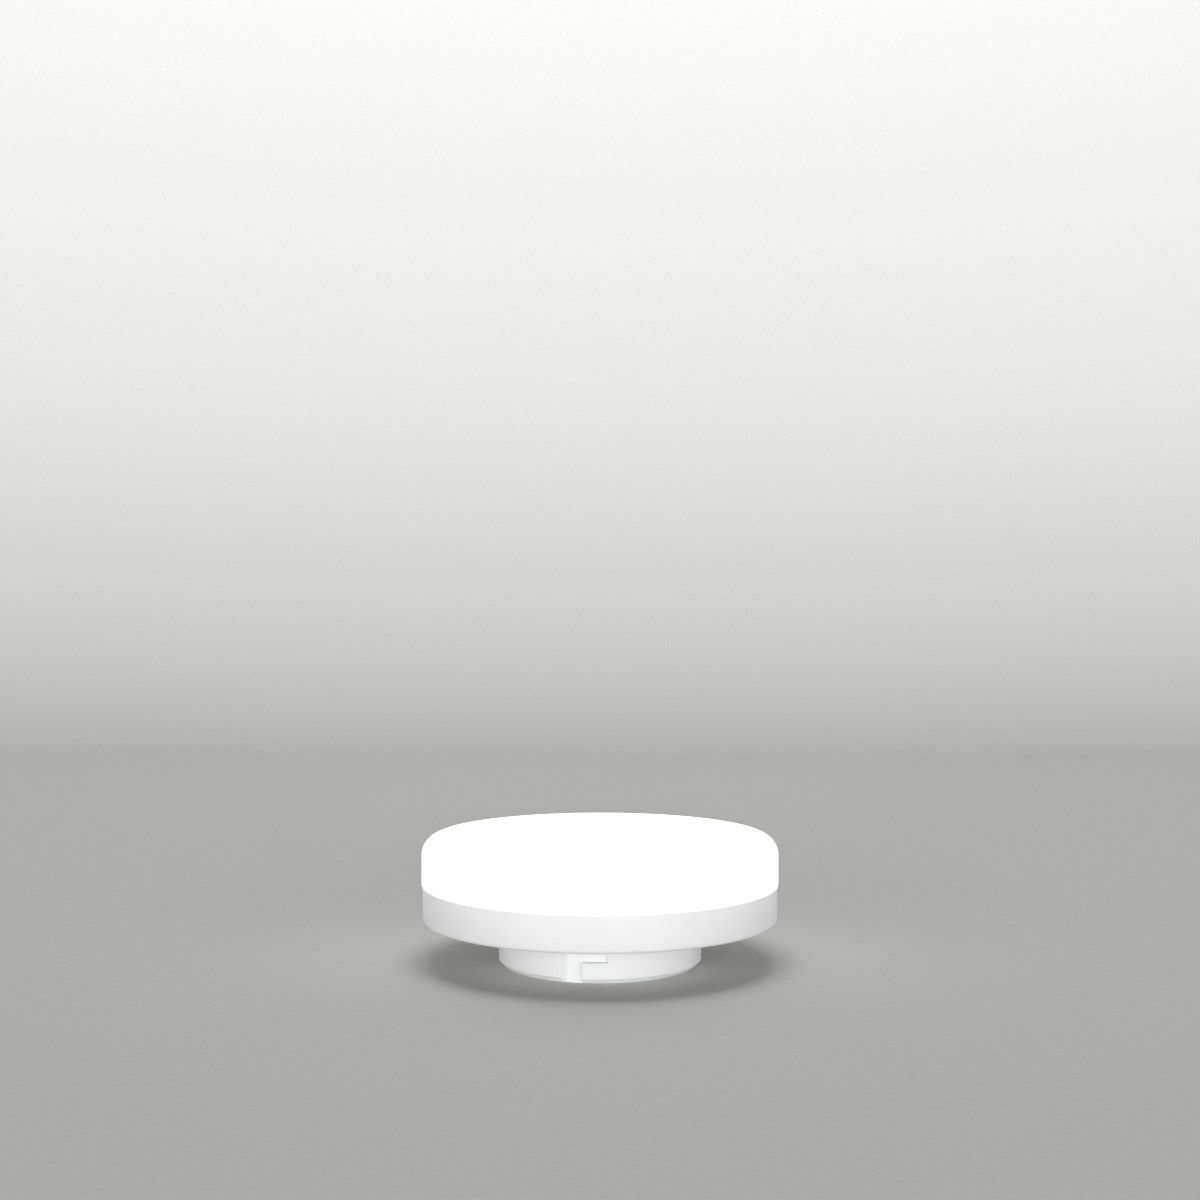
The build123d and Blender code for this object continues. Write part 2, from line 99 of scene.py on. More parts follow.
def sectors(*groups):
    """Cuts the circle at both ends of every arc, and gives (start, sweep) of what lies between."""
    ends = {round(a % 360, 6) for arcs in groups for start, sweep in arcs for a in (start, start + sweep)}
    cuts = sorted(ends)
    return [(a, (b - a) % 360) for a, b in zip(cuts, cuts[1:] + cuts[:1])]


def spin_profile(bm, profile, start, sweep, centre=(0, 0), step=STEP):
    """Spins a profile of (radius, height) points about an upright axis, in steps of so many degrees."""
    turn = Matrix.Rotation(radians(start), 3, "Z")
    axis = Vector((centre[0], centre[1], 0)) * MM
    verts = [bm.verts.new(axis + turn @ Vector((r, 0, z)) * MM) for r, z in profile]
    edges = [bm.edges.new(pair) for pair in zip(verts, verts[1:])]
    bmesh.ops.spin(
        bm,
        geom=verts + edges,
        cent=axis,
        axis=(0, 0, 1),
        angle=radians(sweep),
        steps=max(1, round(sweep / step)),
        use_merge=sweep == 360,
    )


def bridge_profiles(bm, profile, start, other, end):
    """Joins a profile at one angle to one with as many points at another, straight across."""
    edges = []
    for points, angle in ((profile, start), (other, end)):
        turn = Matrix.Rotation(radians(angle), 3, "Z")
        verts = [bm.verts.new(turn @ Vector((r, 0, z)) * MM) for r, z in points]
        edges += [bm.edges.new(pair) for pair in zip(verts, verts[1:])]
    bmesh.ops.bridge_loops(bm, edges=edges)


def close_up(bm):
    """Merges the sectors, fills the side walls between them and turns every face outwards."""
    bmesh.ops.remove_doubles(bm, verts=bm.verts, dist=MERGE)
    bmesh.ops.holes_fill(bm, edges=[e for e in bm.edges if e.is_boundary], sides=0)
    bmesh.ops.recalc_face_normals(bm, faces=bm.faces)


def round_edges(bm, width, segments, chosen):
    """Rounds the sharp convex edges whose middle, as (radius, height) in mm, is chosen."""
    edges = []
    for edge in bm.edges:
        if edge.is_convex and edge.calc_face_angle(0) > BEVELLED:
            middle = (edge.verts[0].co + edge.verts[1].co) / (2 * MM)
            if chosen(middle.xy.length, middle.z):
                edges.append(edge)
    bmesh.ops.bevel(
        bm,
        geom=edges,
        offset=width * MM,
        offset_type="OFFSET",
        segments=segments,
        profile=0.5,
        affect="EDGES",
        material=-1,
        clamp_overlap=True,
    )
    return len(edges)


def settle_shading(piece):
    """Lets large faces set the shading at shared corners, so a small bevel doesn't tint the flat by it."""
    modifier = piece.modifiers.new("weighted_normals", "WEIGHTED_NORMAL")
    modifier.keep_sharp = True


def finished(name, bm):
    """Makes the mesh an object with smooth faces and sharp corners, which rides on the lamp's one body."""
    mesh = bpy.data.meshes.new(name)
    bm.to_mesh(mesh)
    bm.free()
    mesh.shade_smooth()
    mesh.set_sharp_from_angle(angle=CREASE)
    piece = bpy.data.objects.new(name, mesh)
    bpy.context.scene.collection.objects.link(piece)
    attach(piece, "root")
    return piece


# %% [markdown]
# ## Housing
# One white moulding: a bowl for the light source, and under it the hollow cap boss whose two
# L-shaped keyways take the lampholder's lugs. A plain turned shape with everything cut by Booleans
# would leave ragged faces at the keyways, which are what the eye looks at. So the outline, the bowl
# and the boss's inside are three runs of one profile, and each run changes in its own sectors. The
# keyway's closed side leans, so there two profiles are bridged in place of a spin.

# %% Housing sizes
lamp_r = 37.5
housing_r = 37.3
bowl_r = 35.5
boss_r = 21.35
cavity_r = 19.35
back_z = 9.3
floor_z = 10.9
rim_z = 16.7
cavity_z = 1.8
boss_chamfer = 1.0
housing_edge = 0.8
bowl_corner = 1.0
keyway_r = 19.35
keyway_arc = degrees(4.2 / boss_r)
keyway_start = 254.5 - keyway_arc / 2
keyway_turn = 13.9
keyway_land = 4.2
keyway_lean = degrees(0.7 / keyway_r)
mouth_r = boss_r - boss_chamfer
floor_slope = (mouth_r - keyway_r) / back_z
land_r = mouth_r - floor_slope * keyway_land
chamfer_floor_r = mouth_r - floor_slope * boss_chamfer
backing_r = 17.95
backing_margin = 2.0
rest_r = 16.9
rest_z = 3.0
catch_r = 17.4
catch_low_z = 4.1
catch_high_z = 5.0
rest_arc = 8.0
rest_angle = 45.0
catch_turn = 22.5
pocket_r = 36.0
pocket_low_z = 13.2
pocket_high_z = 14.4
hook_arc = 12.0
pocket_side = degrees(0.1 / bowl_r)
HALF_TURNS = (0, 180)

# %% Housing arcs and profiles
leans = [(keyway_start + half, keyway_lean) for half in HALF_TURNS]
channels = [(start + sweep, keyway_arc - keyway_lean) for start, sweep in leans]
legs = [(keyway_start + keyway_arc + half, keyway_turn) for half in HALF_TURNS]
backing_arc = keyway_arc + keyway_turn + 2 * backing_margin
backings = [(keyway_start - backing_margin + half, backing_arc) for half in HALF_TURNS]
rests = [(rest_angle - rest_arc / 2 + 90 * n, rest_arc) for n in range(4)]
catches = [(start - catch_turn, sweep) for start, sweep in rests]
pockets = [(60 * n - hook_arc / 2 - pocket_side, hook_arc + 2 * pocket_side) for n in range(6)]


def housing_profile(angle, uncut=False):
    """The housing's section at an angle, from the axis at the boss's end round to the axis inside.
    Uncut, it has as many points as through a keyway's channel, but leaves the boss whole."""
    run = [(0, 0), (mouth_r, 0)]
    if uncut:
        run += [(boss_r, boss_chamfer), (boss_r, keyway_land), (boss_r, back_z)]
    elif within(angle, channels) or within(angle, leans):
        run += [(chamfer_floor_r, boss_chamfer), (land_r, keyway_land), (keyway_r, back_z)]
    elif within(angle, legs):
        run += [(boss_r, boss_chamfer), (boss_r, keyway_land), (land_r, keyway_land), (keyway_r, back_z)]
    else:
        run += [(boss_r, boss_chamfer), (boss_r, keyway_land)]
    run += [(boss_r, back_z)]
    run += arc_points((housing_r - housing_edge, back_z + housing_edge), housing_edge, -90, 0, count=8)
    run += [(housing_r, rim_z), (bowl_r, rim_z), (bowl_r, pocket_high_z)]
    if within(angle, pockets):
        run += [(pocket_r, pocket_high_z), (pocket_r, pocket_low_z)]
    run += [(bowl_r, pocket_low_z), (bowl_r, floor_z + bowl_corner), (bowl_r - bowl_corner, floor_z)]
    run += [(cavity_r, floor_z)]
    if within(angle, backings):
        run += [(backing_r, floor_z), (backing_r, cavity_z), (rest_r, cavity_z)]
    elif within(angle, rests):
        run += [(cavity_r, catch_high_z), (cavity_r, catch_low_z), (cavity_r, rest_z)]
        run += [(rest_r, rest_z), (rest_r, cavity_z)]
    else:
        run += [(cavity_r, catch_high_z)]
        if within(angle, catches):
            run += [(catch_r, catch_high_z), (catch_r, catch_low_z)]
        run += [(cavity_r, catch_low_z), (cavity_r, rest_z), (cavity_r, cavity_z)]
        run += [(backing_r, cavity_z), (rest_r, cavity_z)]
    return run + [(0, cavity_z)]


# %% Housing mesh
NEAR = 0.1  # mm, by a face
TOUCH = 0.01  # mm, on a face
keyway_soft = 0.1
chamfer_soft = 0.04
rim_soft = 0.15
soft_rows = 2  # rows of faces round a soft edge
bm = bmesh.new()
for start, sweep in sectors(leans, channels, legs, backings, rests, catches, pockets):
    middle = start + sweep / 2
    if within(middle, leans):
        bridge_profiles(bm, housing_profile(middle, True), start, housing_profile(middle), start + sweep)
    else:
        spin_profile(bm, housing_profile(middle), start, sweep)
close_up(bm)
count = round_edges(
    bm,
    keyway_soft,
    soft_rows,
    lambda r, z: r > keyway_r - NEAR and boss_chamfer + NEAR < z < back_z - TOUCH,
)
count += round_edges(
    bm,
    chamfer_soft,
    soft_rows,
    lambda r, z: r > keyway_r - NEAR and z < boss_chamfer + TOUCH,
)
count += round_edges(bm, rim_soft, soft_rows, lambda r, z: z > rim_z - TOUCH)
housing = finished("housing_shell", bm)
print("housing faces:", len(housing.data.polygons), "edges rounded:", count)

# %% [markdown]
# The screw posts, their pilot holes and the two pin holes aren't round about the lamp's axis, so
# they are turned about their own axes and joined to or cut from the moulding by Booleans. They meet
# plain walls only, where a Boolean leaves no harm once the stray points it makes are merged.

# %% Posts and holes
post_r = 2.2
post_top_z = 13.3
post_root_z = 10.2
pilot_r = 1.05
pilot_low_z = 10.65
pin_x = 26.5
pin_hole_r = 1.55
screw_r = 23.0
overcut = 1.0
screw_angles = [radians(90 + 120 * n) for n in range(3)]
screw_places = [(screw_r * cos(a), screw_r * sin(a)) for a in screw_angles]


def round_bars(name, bars):
    """A mesh of upright round bars, each given as (centre, radius, low height, high height)."""
    bm = bmesh.new()
    for centre, radius, low, high in bars:
        spin_profile(bm, [(0, low), (radius, low), (radius, high), (0, high)], 0, 360, centre, SMALL_STEP)
    close_up(bm)
    mesh = bpy.data.meshes.new(name)
    bm.to_mesh(mesh)
    bm.free()
    bars_object = bpy.data.objects.new(name, mesh)
    bpy.context.scene.collection.objects.link(bars_object)
    return bars_object


def combine(piece, tool, operation):
    """Joins a tool to a piece or cuts it out, keeps the merged result and removes the tool."""
    modifier = piece.modifiers.new("combine", "BOOLEAN")
    modifier.operation = operation
    modifier.solver = "EXACT"
    modifier.object = tool
    result = bpy.data.meshes.new_from_object(piece.evaluated_get(bpy.context.evaluated_depsgraph_get()))
    result.name = piece.name
    bm = bmesh.new()
    bm.from_mesh(result)
    bmesh.ops.remove_doubles(bm, verts=bm.verts, dist=MERGE)
    bm.to_mesh(result)
    bm.free()
    result.set_sharp_from_angle(angle=CREASE)
    piece.modifiers.clear()
    piece.data = result
    bpy.data.objects.remove(tool)


combine(housing, round_bars("posts", [(p, post_r, post_root_z, post_top_z) for p in screw_places]), "UNION")
pilots = [(p, pilot_r, pilot_low_z, post_top_z + overcut) for p in screw_places]
pin_holes = [((x, 0), pin_hole_r, back_z - overcut, floor_z + overcut) for x in (-pin_x, pin_x)]
combine(housing, round_bars("holes", pilots + pin_holes), "DIFFERENCE")
settle_shading(housing)
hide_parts("housing")
print("housing with posts and holes:", len(housing.data.polygons))

# %% [markdown]
# ## Diffuser
# A cap of opal polycarbonate with an even wall and a generous round edge. A flat disc with a Bevel
# and a Solidify would give the cap, but not the six hooks inside its rim that snap into the
# housing's pockets, so it is spun like the housing, with a profile that changes in six sectors.

# %% Diffuser
top_z = 27.0
diffuser_edge = 4.0
diffuser_wall = 1.5
hook_outer_r = 35.4
hook_inner_r = 34.3
hook_barb = 0.5
hook_end_z = 13.3
hook_catch_z = 14.3
hook_root_z = 18.7
diffuser_rim_soft = 0.25
diffuser_soft_rows = 3
hooks = [(60 * n - hook_arc / 2, hook_arc) for n in range(6)]


def diffuser_profile(angle):
    """The diffuser's section at an angle, from the axis underneath round to the axis on top."""
    inner_r = lamp_r - diffuser_wall
    edge_centre = (lamp_r - diffuser_edge, top_z - diffuser_edge)
    run = [(0, top_z - diffuser_wall)]
    run += arc_points(edge_centre, diffuser_edge - diffuser_wall, 90, 0, count=12)
    run += [(inner_r, hook_root_z)]
    if within(angle, hooks):
        run += [(hook_inner_r, hook_root_z), (hook_inner_r, hook_end_z), (hook_outer_r, hook_end_z)]
        run += [(hook_outer_r + hook_barb, hook_catch_z), (hook_outer_r, hook_catch_z)]
        run += [(hook_outer_r, rim_z)]
    run += [(inner_r, rim_z), (lamp_r, rim_z)]
    run += arc_points(edge_centre, diffuser_edge, 0, 90, count=16)
    return run + [(0, top_z)]


bm = bmesh.new()
for start, sweep in sectors(hooks):
    spin_profile(bm, diffuser_profile(start + sweep / 2), start, sweep)
close_up(bm)
round_edges(
    bm,
    diffuser_rim_soft,
    diffuser_soft_rows,
    lambda r, z: r > lamp_r - NEAR and z < rim_z + NEAR,
)
diffuser = finished("opal_diffuser", bm)
settle_shading(diffuser)
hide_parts("diffuser")
print("diffuser faces:", len(diffuser.data.polygons))

# %% [markdown]
# ## Contact pins
# Two turned brass pins, nickel plated, with a mushroom head that the holder's keyhole contacts
# grip. Each has a collar against the back wall and is flared over inside it, round the bore that
# takes the mains wire. A lathe makes the real one, so one profile is spun about the pin's own axis.

# %% Contact pins
pin_soft = 0.1
head_r = 2.5
head_edge = 0.5
head_low_z = 4.8
head_high_z = 6.6
neck_r = 1.5
collar_r = 2.2
collar_z = 8.7
flare_r = 2.1
flare_z = 11.3
bore_r = 0.6
bore_end_z = 8.3
pin_profile = [(0, head_low_z), (head_r - head_edge, head_low_z), (head_r, head_low_z + head_edge)]
pin_profile += [(head_r, head_high_z), (neck_r, head_high_z), (neck_r, collar_z), (collar_r, collar_z)]
pin_profile += [(collar_r, back_z), (neck_r, back_z), (neck_r, floor_z), (flare_r, floor_z)]
pin_profile += [(flare_r, flare_z), (bore_r, flare_z), (bore_r, bore_end_z), (0, bore_end_z)]
pins = {}
for side, x in (("left", -pin_x), ("right", pin_x)):
    bm = bmesh.new()
    spin_profile(bm, pin_profile, 0, 360, (x, 0), SMALL_STEP)
    close_up(bm)
    round_edges(bm, pin_soft, soft_rows, lambda r, z: True)
    pins[side] = finished(f"turned_pin_{side}", bm)
    settle_shading(pins[side])
    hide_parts(f"contact_pin_{side}")
print("pins:", [len(pin.data.polygons) for pin in pins.values()])

# %% [markdown]
# ## Finishes
# Every finish is built of shader nodes on Object coordinates, which are metres in the lamp's own
# frame, so a pattern's scale is one over its real size. UV maps would do too, but each piece would
# need its own, and a pattern would jump at their seams.

# %% Node helpers
def linear(code):
    """A colour written as an sRGB hex code, turned to the linear values that shaders work in."""
    parts = [int(code[n : n + 2], 16) / 255 for n in (1, 3, 5)]
    return (*[c / 12.92 if c <= 0.04045 else ((c + 0.055) / 1.055) ** 2.4 for c in parts], 1.0)


def scale_of(size):
    """Noise scale for grains of this many millimetres."""
    return 1 / (size * MM)


def wave_scale_of(size):
    """Wave scale for a ring or band every so many millimetres: the node turns 20 radians to a unit."""
    return 2 * pi / 20 / (size * MM)


def add(tree, kind, inputs, stops=(), **settings):
    """Adds a shader node with its settings and, for a colour ramp, its stops of (place, colour).
    Each input is a value or an output to link from."""
    made = tree.nodes.new("ShaderNode" + kind)
    for name, value in settings.items():
        setattr(made, name, value)
    for name, value in inputs.items():
        if isinstance(value, bpy.types.NodeSocket):
            tree.links.new(value, made.inputs[name])
        else:
            made.inputs[name].default_value = value
    for n, (position, colour) in enumerate(stops):
        made.color_ramp.elements[n].position = position
        made.color_ramp.elements[n].color = colour
    return made.outputs


def new_material(name):
    """An empty node material, and the tree to build it in."""
    material = bpy.data.materials.new(name)
    material.use_nodes = True
    material.node_tree.nodes.clear()
    return material, material.node_tree


def dress(piece, material):
    """Gives a piece or a CAD node this one material."""
    piece.data.materials.clear()
    piece.data.materials.append(material)


# %% [markdown]
# White moulded plastic: a glass-filled polyester, moulded in a spark-eroded tool. To the eye it is
# an even, slightly cool white with a satin sheen. The bowl has a fine grain that greys it a little.
# The boss is painted a little whiter than the bowl, as painted light that lifts the shade under the
# housing's overhang. What lies deeper than the boss's face, the keyways above all, is whiter still,
# as painted light that lifts the shade in those recesses. A weak emission, strongest at the rim by
# the diffuser and fading to nothing at the back, is a painted glow that lightens the housing's top.

# %% White moulded plastic
keyway_light_full_depth = 0.6  # mm inside the boss's face, where the painted light in the keyways is full
keyway_light_start_depth = 0.2  # and where it begins
moulded, tree = new_material("moulded_white_polyester")
place = add(tree, "TexCoord", {})["Object"]
grain = add(tree, "TexNoise", {"Vector": place, "Scale": scale_of(0.3), "Detail": 3.0})["Fac"]
flow = add(tree, "TexNoise", {"Vector": place, "Scale": scale_of(14), "Detail": 2.0})["Fac"]
tones = [(0.35, linear("#EEEFEF")), (0.65, linear("#F1F2F2"))]
grained = add(tree, "ValToRGB", {"Fac": flow}, tones)["Color"]
sheen = add(tree, "MapRange", {"Value": grain, "To Min": 0.40, "To Max": 0.50})["Result"]
relief = add(tree, "Bump", {"Height": grain, "Strength": 0.12, "Distance": 0.02 * MM})["Normal"]
height = add(tree, "SeparateXYZ", {"Vector": place})["Z"]
flat_place = add(tree, "VectorMath", {0: place, 1: (1, 1, 0)}, operation="MULTIPLY")["Vector"]
radius = add(tree, "VectorMath", {0: flat_place}, operation="LENGTH")["Value"]
# Painted light: what lies deeper than the boss's face, the keyways above all, is made whiter to lift the
# shade in the recesses.
keyway_light_mask = add(
    tree,
    "MapRange",
    {
        "Value": radius,
        "From Min": (boss_r - keyway_light_full_depth) * MM,
        "From Max": (boss_r - keyway_light_start_depth) * MM,
        "To Min": 1.0,
        "To Max": 0.0,
    },
)["Result"]
# Painted light: the boss is whiter than the bowl to lift the shade under the overhang.
boss_painted_whiter = linear("#F7F8F8")
keyway_painted_light = linear("#FCFDFD")
boss_painted_light = add(tree, "MixRGB", {"Fac": keyway_light_mask, "Color1": boss_painted_whiter, "Color2": keyway_painted_light})["Color"]
above = add(tree, "Math", {0: height, 1: (back_z - NEAR / 2) * MM}, operation="GREATER_THAN")["Value"]
colour = add(tree, "MixRGB", {"Fac": above, "Color1": boss_painted_light, "Color2": grained})["Color"]
# Painted glow: a weak emission, strongest at the rim and none at the back, lightens the housing towards the
# top.
painted_rim_glow = add(
    tree,
    "MapRange",
    {"Value": height, "From Min": back_z * MM, "From Max": rim_z * MM, "To Min": 0.0, "To Max": 0.08},
)["Result"]
shader = add(
    tree,
    "BsdfPrincipled",
    {
        "Base Color": colour,
        "Roughness": sheen,
        "IOR": 1.53,
        "Normal": relief,
        "Emission Color": linear("#FFFFFF"),
        "Emission Strength": painted_rim_glow,
    },
)
add(tree, "OutputMaterial", {"Surface": shader["BSDF"]})
dress(housing, moulded)
print("finish:", moulded.name)

# %% [markdown]
# Opal polycarbonate, lit: the wall scatters the light of the LEDs until they no longer show, so
# the cap glows an even white and only dims a little where the rim stands on the housing. Light
# traced through a milky volume would be true but noisy, and the glow is even anyway, so the skin
# itself emits it.

# %% Opal polycarbonate
rim_shade = 3.0  # mm of the wall above the rim that dims
opal, tree = new_material("lit_opal_polycarbonate")
place = add(tree, "TexCoord", {})["Object"]
height = add(tree, "SeparateXYZ", {"Vector": place})["Z"]
lit = add(
    tree,
    "MapRange",
    {"Value": height, "From Min": rim_z * MM, "From Max": (rim_z + rim_shade) * MM},
)["Result"]
glow = add(tree, "ValToRGB", {"Fac": lit}, [(0, linear("#F0F0EE")), (1, linear("#FFFFFF"))])["Color"]
satin = add(tree, "TexNoise", {"Vector": place, "Scale": scale_of(0.4), "Detail": 2.0})["Fac"]
relief = add(tree, "Bump", {"Height": satin, "Strength": 0.08, "Distance": 0.02 * MM})["Normal"]
shader = add(
    tree,
    "BsdfPrincipled",
    {
        "Base Color": linear("#F2F2F0"),
        "Roughness": 0.42,
        "IOR": 1.58,
        "Normal": relief,
        "Emission Color": glow,
        "Emission Strength": 0.65,
    },
)
add(tree, "OutputMaterial", {"Surface": shader["BSDF"]})
dress(diffuser, opal)
print("finish:", opal.name)

# %% [markdown]
# Nickel plating on turned brass: bright, slightly warm metal, with the tool's fine rings about
# each pin's own axis. The rings are a wave pattern, drawn a little coarser than the tool leaves them
# so that they show, and a Mapping node puts their centre on the pin.

# %% Plated pins
for side, x in (("left", -pin_x), ("right", pin_x)):
    plated, tree = new_material(f"nickel_plated_brass_{side}")
    place = add(tree, "TexCoord", {})["Object"]
    centred = add(tree, "Mapping", {"Vector": place, "Location": (-x * MM, 0, 0)})["Vector"]
    rings = add(
        tree,
        "TexWave",
        {"Vector": centred, "Scale": wave_scale_of(0.4), "Distortion": 0.6, "Detail": 2.0},
        wave_type="RINGS",
        rings_direction="Z",
    )["Fac"]
    sheen = add(tree, "MapRange", {"Value": rings, "To Min": 0.18, "To Max": 0.32})["Result"]
    relief = add(tree, "Bump", {"Height": rings, "Strength": 0.15, "Distance": 0.02 * MM})["Normal"]
    shader = add(
        tree,
        "BsdfPrincipled",
        {"Base Color": linear("#D5D0C6"), "Metallic": 1.0, "Roughness": sheen, "Normal": relief},
    )
    add(tree, "OutputMaterial", {"Surface": shader["BSDF"]})
    dress(pins[side], plated)
print("finish:", plated.name)

# %% [markdown]
# ## Pieces inside
# The diffuser hides them, but the lamp can be taken apart, so each solid keeps its shape and gets
# the finish of the real piece. One shared grey would be enough for this picture, but not for a
# look at a single piece.
#
# Both boards carry copper under a coat of solder mask, and the copper shows through as a slightly
# lighter tone. On the LED board it follows the two rings of LEDs, so it is drawn by its distance
# from the axis. The driver's copper is cut into oblong fields with dark gaps between them, for
# which bricks do well: a true layout would only be needed for a board that shows.

# %% LED board
led_ring_radii = (28.5, 13.0)
copper_half_width = 2.3
mask, tree = new_material("white_solder_mask")
place = add(tree, "TexCoord", {})["Object"]
plan = add(tree, "VectorMath", {0: place, 1: (1, 1, 0)}, operation="MULTIPLY")["Vector"]
radius = add(tree, "VectorMath", {0: plan}, operation="LENGTH")["Value"]
on_ring = [
    add(tree, "Math", {0: radius, 1: r * MM, 2: copper_half_width * MM}, operation="COMPARE")["Value"]
    for r in led_ring_radii
]
copper = add(tree, "Math", {0: on_ring[0], 1: on_ring[1]}, operation="MAXIMUM")["Value"]
tones = {"Color1": linear("#E4E4DE"), "Color2": linear("#EEEEEA")}
colour = add(tree, "MixRGB", {"Fac": copper, **tones})["Color"]
grain = add(tree, "TexNoise", {"Vector": place, "Scale": scale_of(1.2), "Detail": 3.0})["Fac"]
sheen = add(tree, "MapRange", {"Value": grain, "To Min": 0.3, "To Max": 0.42})["Result"]
relief = add(tree, "Bump", {"Height": grain, "Strength": 0.1, "Distance": 0.03 * MM})["Normal"]
shader = add(tree, "BsdfPrincipled", {"Base Color": colour, "Roughness": sheen, "Normal": relief})
add(tree, "OutputMaterial", {"Surface": shader["BSDF"]})
dress(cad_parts["led_board"], mask)
print("finish:", mask.name)

# %% Driver board
field_length = 4.2
field_width = 2.3
field_gap = 0.15
mask, tree = new_material("green_solder_mask")
place = add(tree, "TexCoord", {})["Object"]
fields = add(
    tree,
    "TexBrick",
    {
        "Vector": place,
        "Color1": linear("#1B6A40"),
        "Color2": linear("#175C37"),
        "Mortar": linear("#0C3A22"),
        "Scale": scale_of(1.0),
        "Mortar Size": field_gap,
        "Brick Width": field_length,
        "Row Height": field_width,
    },
)
raised = {"Height": fields["Fac"], "Strength": 0.3, "Distance": 0.04 * MM}
relief = add(tree, "Bump", raised, invert=True)["Normal"]
grain = add(tree, "TexNoise", {"Vector": place, "Scale": scale_of(1.2), "Detail": 3.0})["Fac"]
sheen = add(tree, "MapRange", {"Value": grain, "To Min": 0.24, "To Max": 0.36})["Result"]
shader = add(tree, "BsdfPrincipled", {"Base Color": fields["Color"], "Roughness": sheen, "Normal": relief})
add(tree, "OutputMaterial", {"Surface": shader["BSDF"]})
dress(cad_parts["driver_board"], mask)
print("finish:", mask.name)

# %% [markdown]
# Each LED is a white moulded frame round a sunk window filled with yellow phosphor. The window's
# floor lies at one height on all of them, so height and an upward normal pick it out, and the
# frames need no second material.

# %% LEDs
window_depth = 0.15
upright = 0.9  # the least height of a normal that points up
window_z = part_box("led_packages")[1][2] - window_depth * MM
led, tree = new_material("led_frame_and_phosphor")
coordinates = add(tree, "TexCoord", {})
place = coordinates["Object"]
height = add(tree, "SeparateXYZ", {"Vector": place})["Z"]
upward = add(tree, "SeparateXYZ", {"Vector": coordinates["Normal"]})["Z"]
at_level = add(tree, "Math", {0: height, 1: window_z, 2: NEAR / 2 * MM}, operation="COMPARE")["Value"]
facing = add(tree, "Math", {0: upward, 1: upright}, operation="GREATER_THAN")["Value"]
window = add(tree, "Math", {0: at_level, 1: facing}, operation="MULTIPLY")["Value"]
grain = add(tree, "TexNoise", {"Vector": place, "Scale": scale_of(0.2), "Detail": 2.0})["Fac"]
tones = [(0.35, linear("#DDBB3C")), (0.65, linear("#EBCF5C"))]
phosphor = add(tree, "ValToRGB", {"Fac": grain}, tones)["Color"]
colour = add(tree, "MixRGB", {"Fac": window, "Color1": linear("#EFEFE9"), "Color2": phosphor})["Color"]
sheen = add(tree, "MapRange", {"Value": grain, "To Min": 0.3, "To Max": 0.42})["Result"]
shader = add(tree, "BsdfPrincipled", {"Base Color": colour, "Roughness": sheen})
add(tree, "OutputMaterial", {"Surface": shader["BSDF"]})
dress(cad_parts["led_packages"], led)
print("phosphor windows at height in mm:", round(window_z / MM, 2))

# %% [markdown]
# The dish under the LED board is drawn from aluminium sheet, which leaves fine rings about its
# axis. The choke is wound with enamelled copper wire, whose turns lie in level rows; the dark lines
# between them are painted shade where the turns meet. Both are waves, so the wire needn't be modelled turn
# by turn.

# %% Drawn sheet and winding
sheen_spread = 0.06  # how far roughness varies to either side
draw_rings = {"wave_type": "RINGS", "rings_direction": "Z"}
wire_rows = {"wave_type": "BANDS", "bands_direction": "Z"}
# name: dark tone, light tone, roughness, spacing in mm, the wave's settings, node
waved_metals = {
    "drawn_aluminium_sheet": ("#C4C6C9", "#D2D4D6", 0.34, 0.8, draw_rings, "heat_spreader"),
    # the winding's dark tone is painted shade between the turns
    "enamelled_copper_wire": ("#6A3016", "#C4703C", 0.28, 0.3, wire_rows, "choke_winding"),
}
for name, (dark, light, roughness, spacing, settings, node) in waved_metals.items():
    material, tree = new_material(name)
    place = add(tree, "TexCoord", {})["Object"]
    wave = add(tree, "TexWave", {"Vector": place, "Scale": wave_scale_of(spacing)}, **settings)["Fac"]
    colour = add(tree, "ValToRGB", {"Fac": wave}, [(0, linear(dark)), (0.5, linear(light))])["Color"]
    spread = {"To Min": roughness + sheen_spread, "To Max": roughness - sheen_spread}
    sheen = add(tree, "MapRange", {"Value": wave, **spread})["Result"]
    relief = add(tree, "Bump", {"Height": wave, "Strength": 0.3, "Distance": 0.05 * MM})["Normal"]
    shader = add(
        tree,
        "BsdfPrincipled",
        {"Base Color": colour, "Metallic": 1.0, "Roughness": sheen, "Normal": relief},
    )
    add(tree, "OutputMaterial", {"Surface": shader["BSDF"]})
    dress(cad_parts[node], material)
print("waved metals:", list(waved_metals))

# %% [markdown]
# The other pieces have no pattern of their own, only a grain: moulded epoxy is matt and speckled,
# ferrite is ground and dull, shrunk sleeves and wire insulation are smooth and glossy, and zinc
# plating is a bright grey with a slight bloom. One loop with a row for each does for all of them.

# %% Grained finishes
packages = ["bridge_rectifier", "driver_chip", "chip_resistors"]
# name: dark tone, light tone, metallic, roughness, grain in mm, nodes
grained_finishes = {
    "zinc_plated_steel": ("#A9ADB0", "#C3C6C8", 1.0, 0.3, 0.5, ["board_screws"]),
    "shrunk_sleeve": ("#14181E", "#1E242C", 0.0, 0.28, 1.2, ["input_capacitor", "output_capacitor"]),
    "ground_ferrite": ("#2A2A2B", "#3A3A3B", 0.0, 0.6, 0.3, ["choke_core"]),
    "moulded_epoxy": ("#191919", "#242424", 0.0, 0.5, 0.2, packages),
    "fireproof_coating": ("#5A776A", "#6E8C7E", 0.0, 0.55, 0.5, ["fuse_resistor"]),
    "silicone_insulation": ("#E2E2DE", "#EEEEEA", 0.0, 0.45, 0.6, ["mains_wire_left", "mains_wire_right"]),
    "red_insulation": ("#A01A14", "#B8241C", 0.0, 0.4, 0.6, ["led_wire_positive"]),
    "black_insulation": ("#161616", "#202020", 0.0, 0.4, 0.6, ["led_wire_negative"]),
}
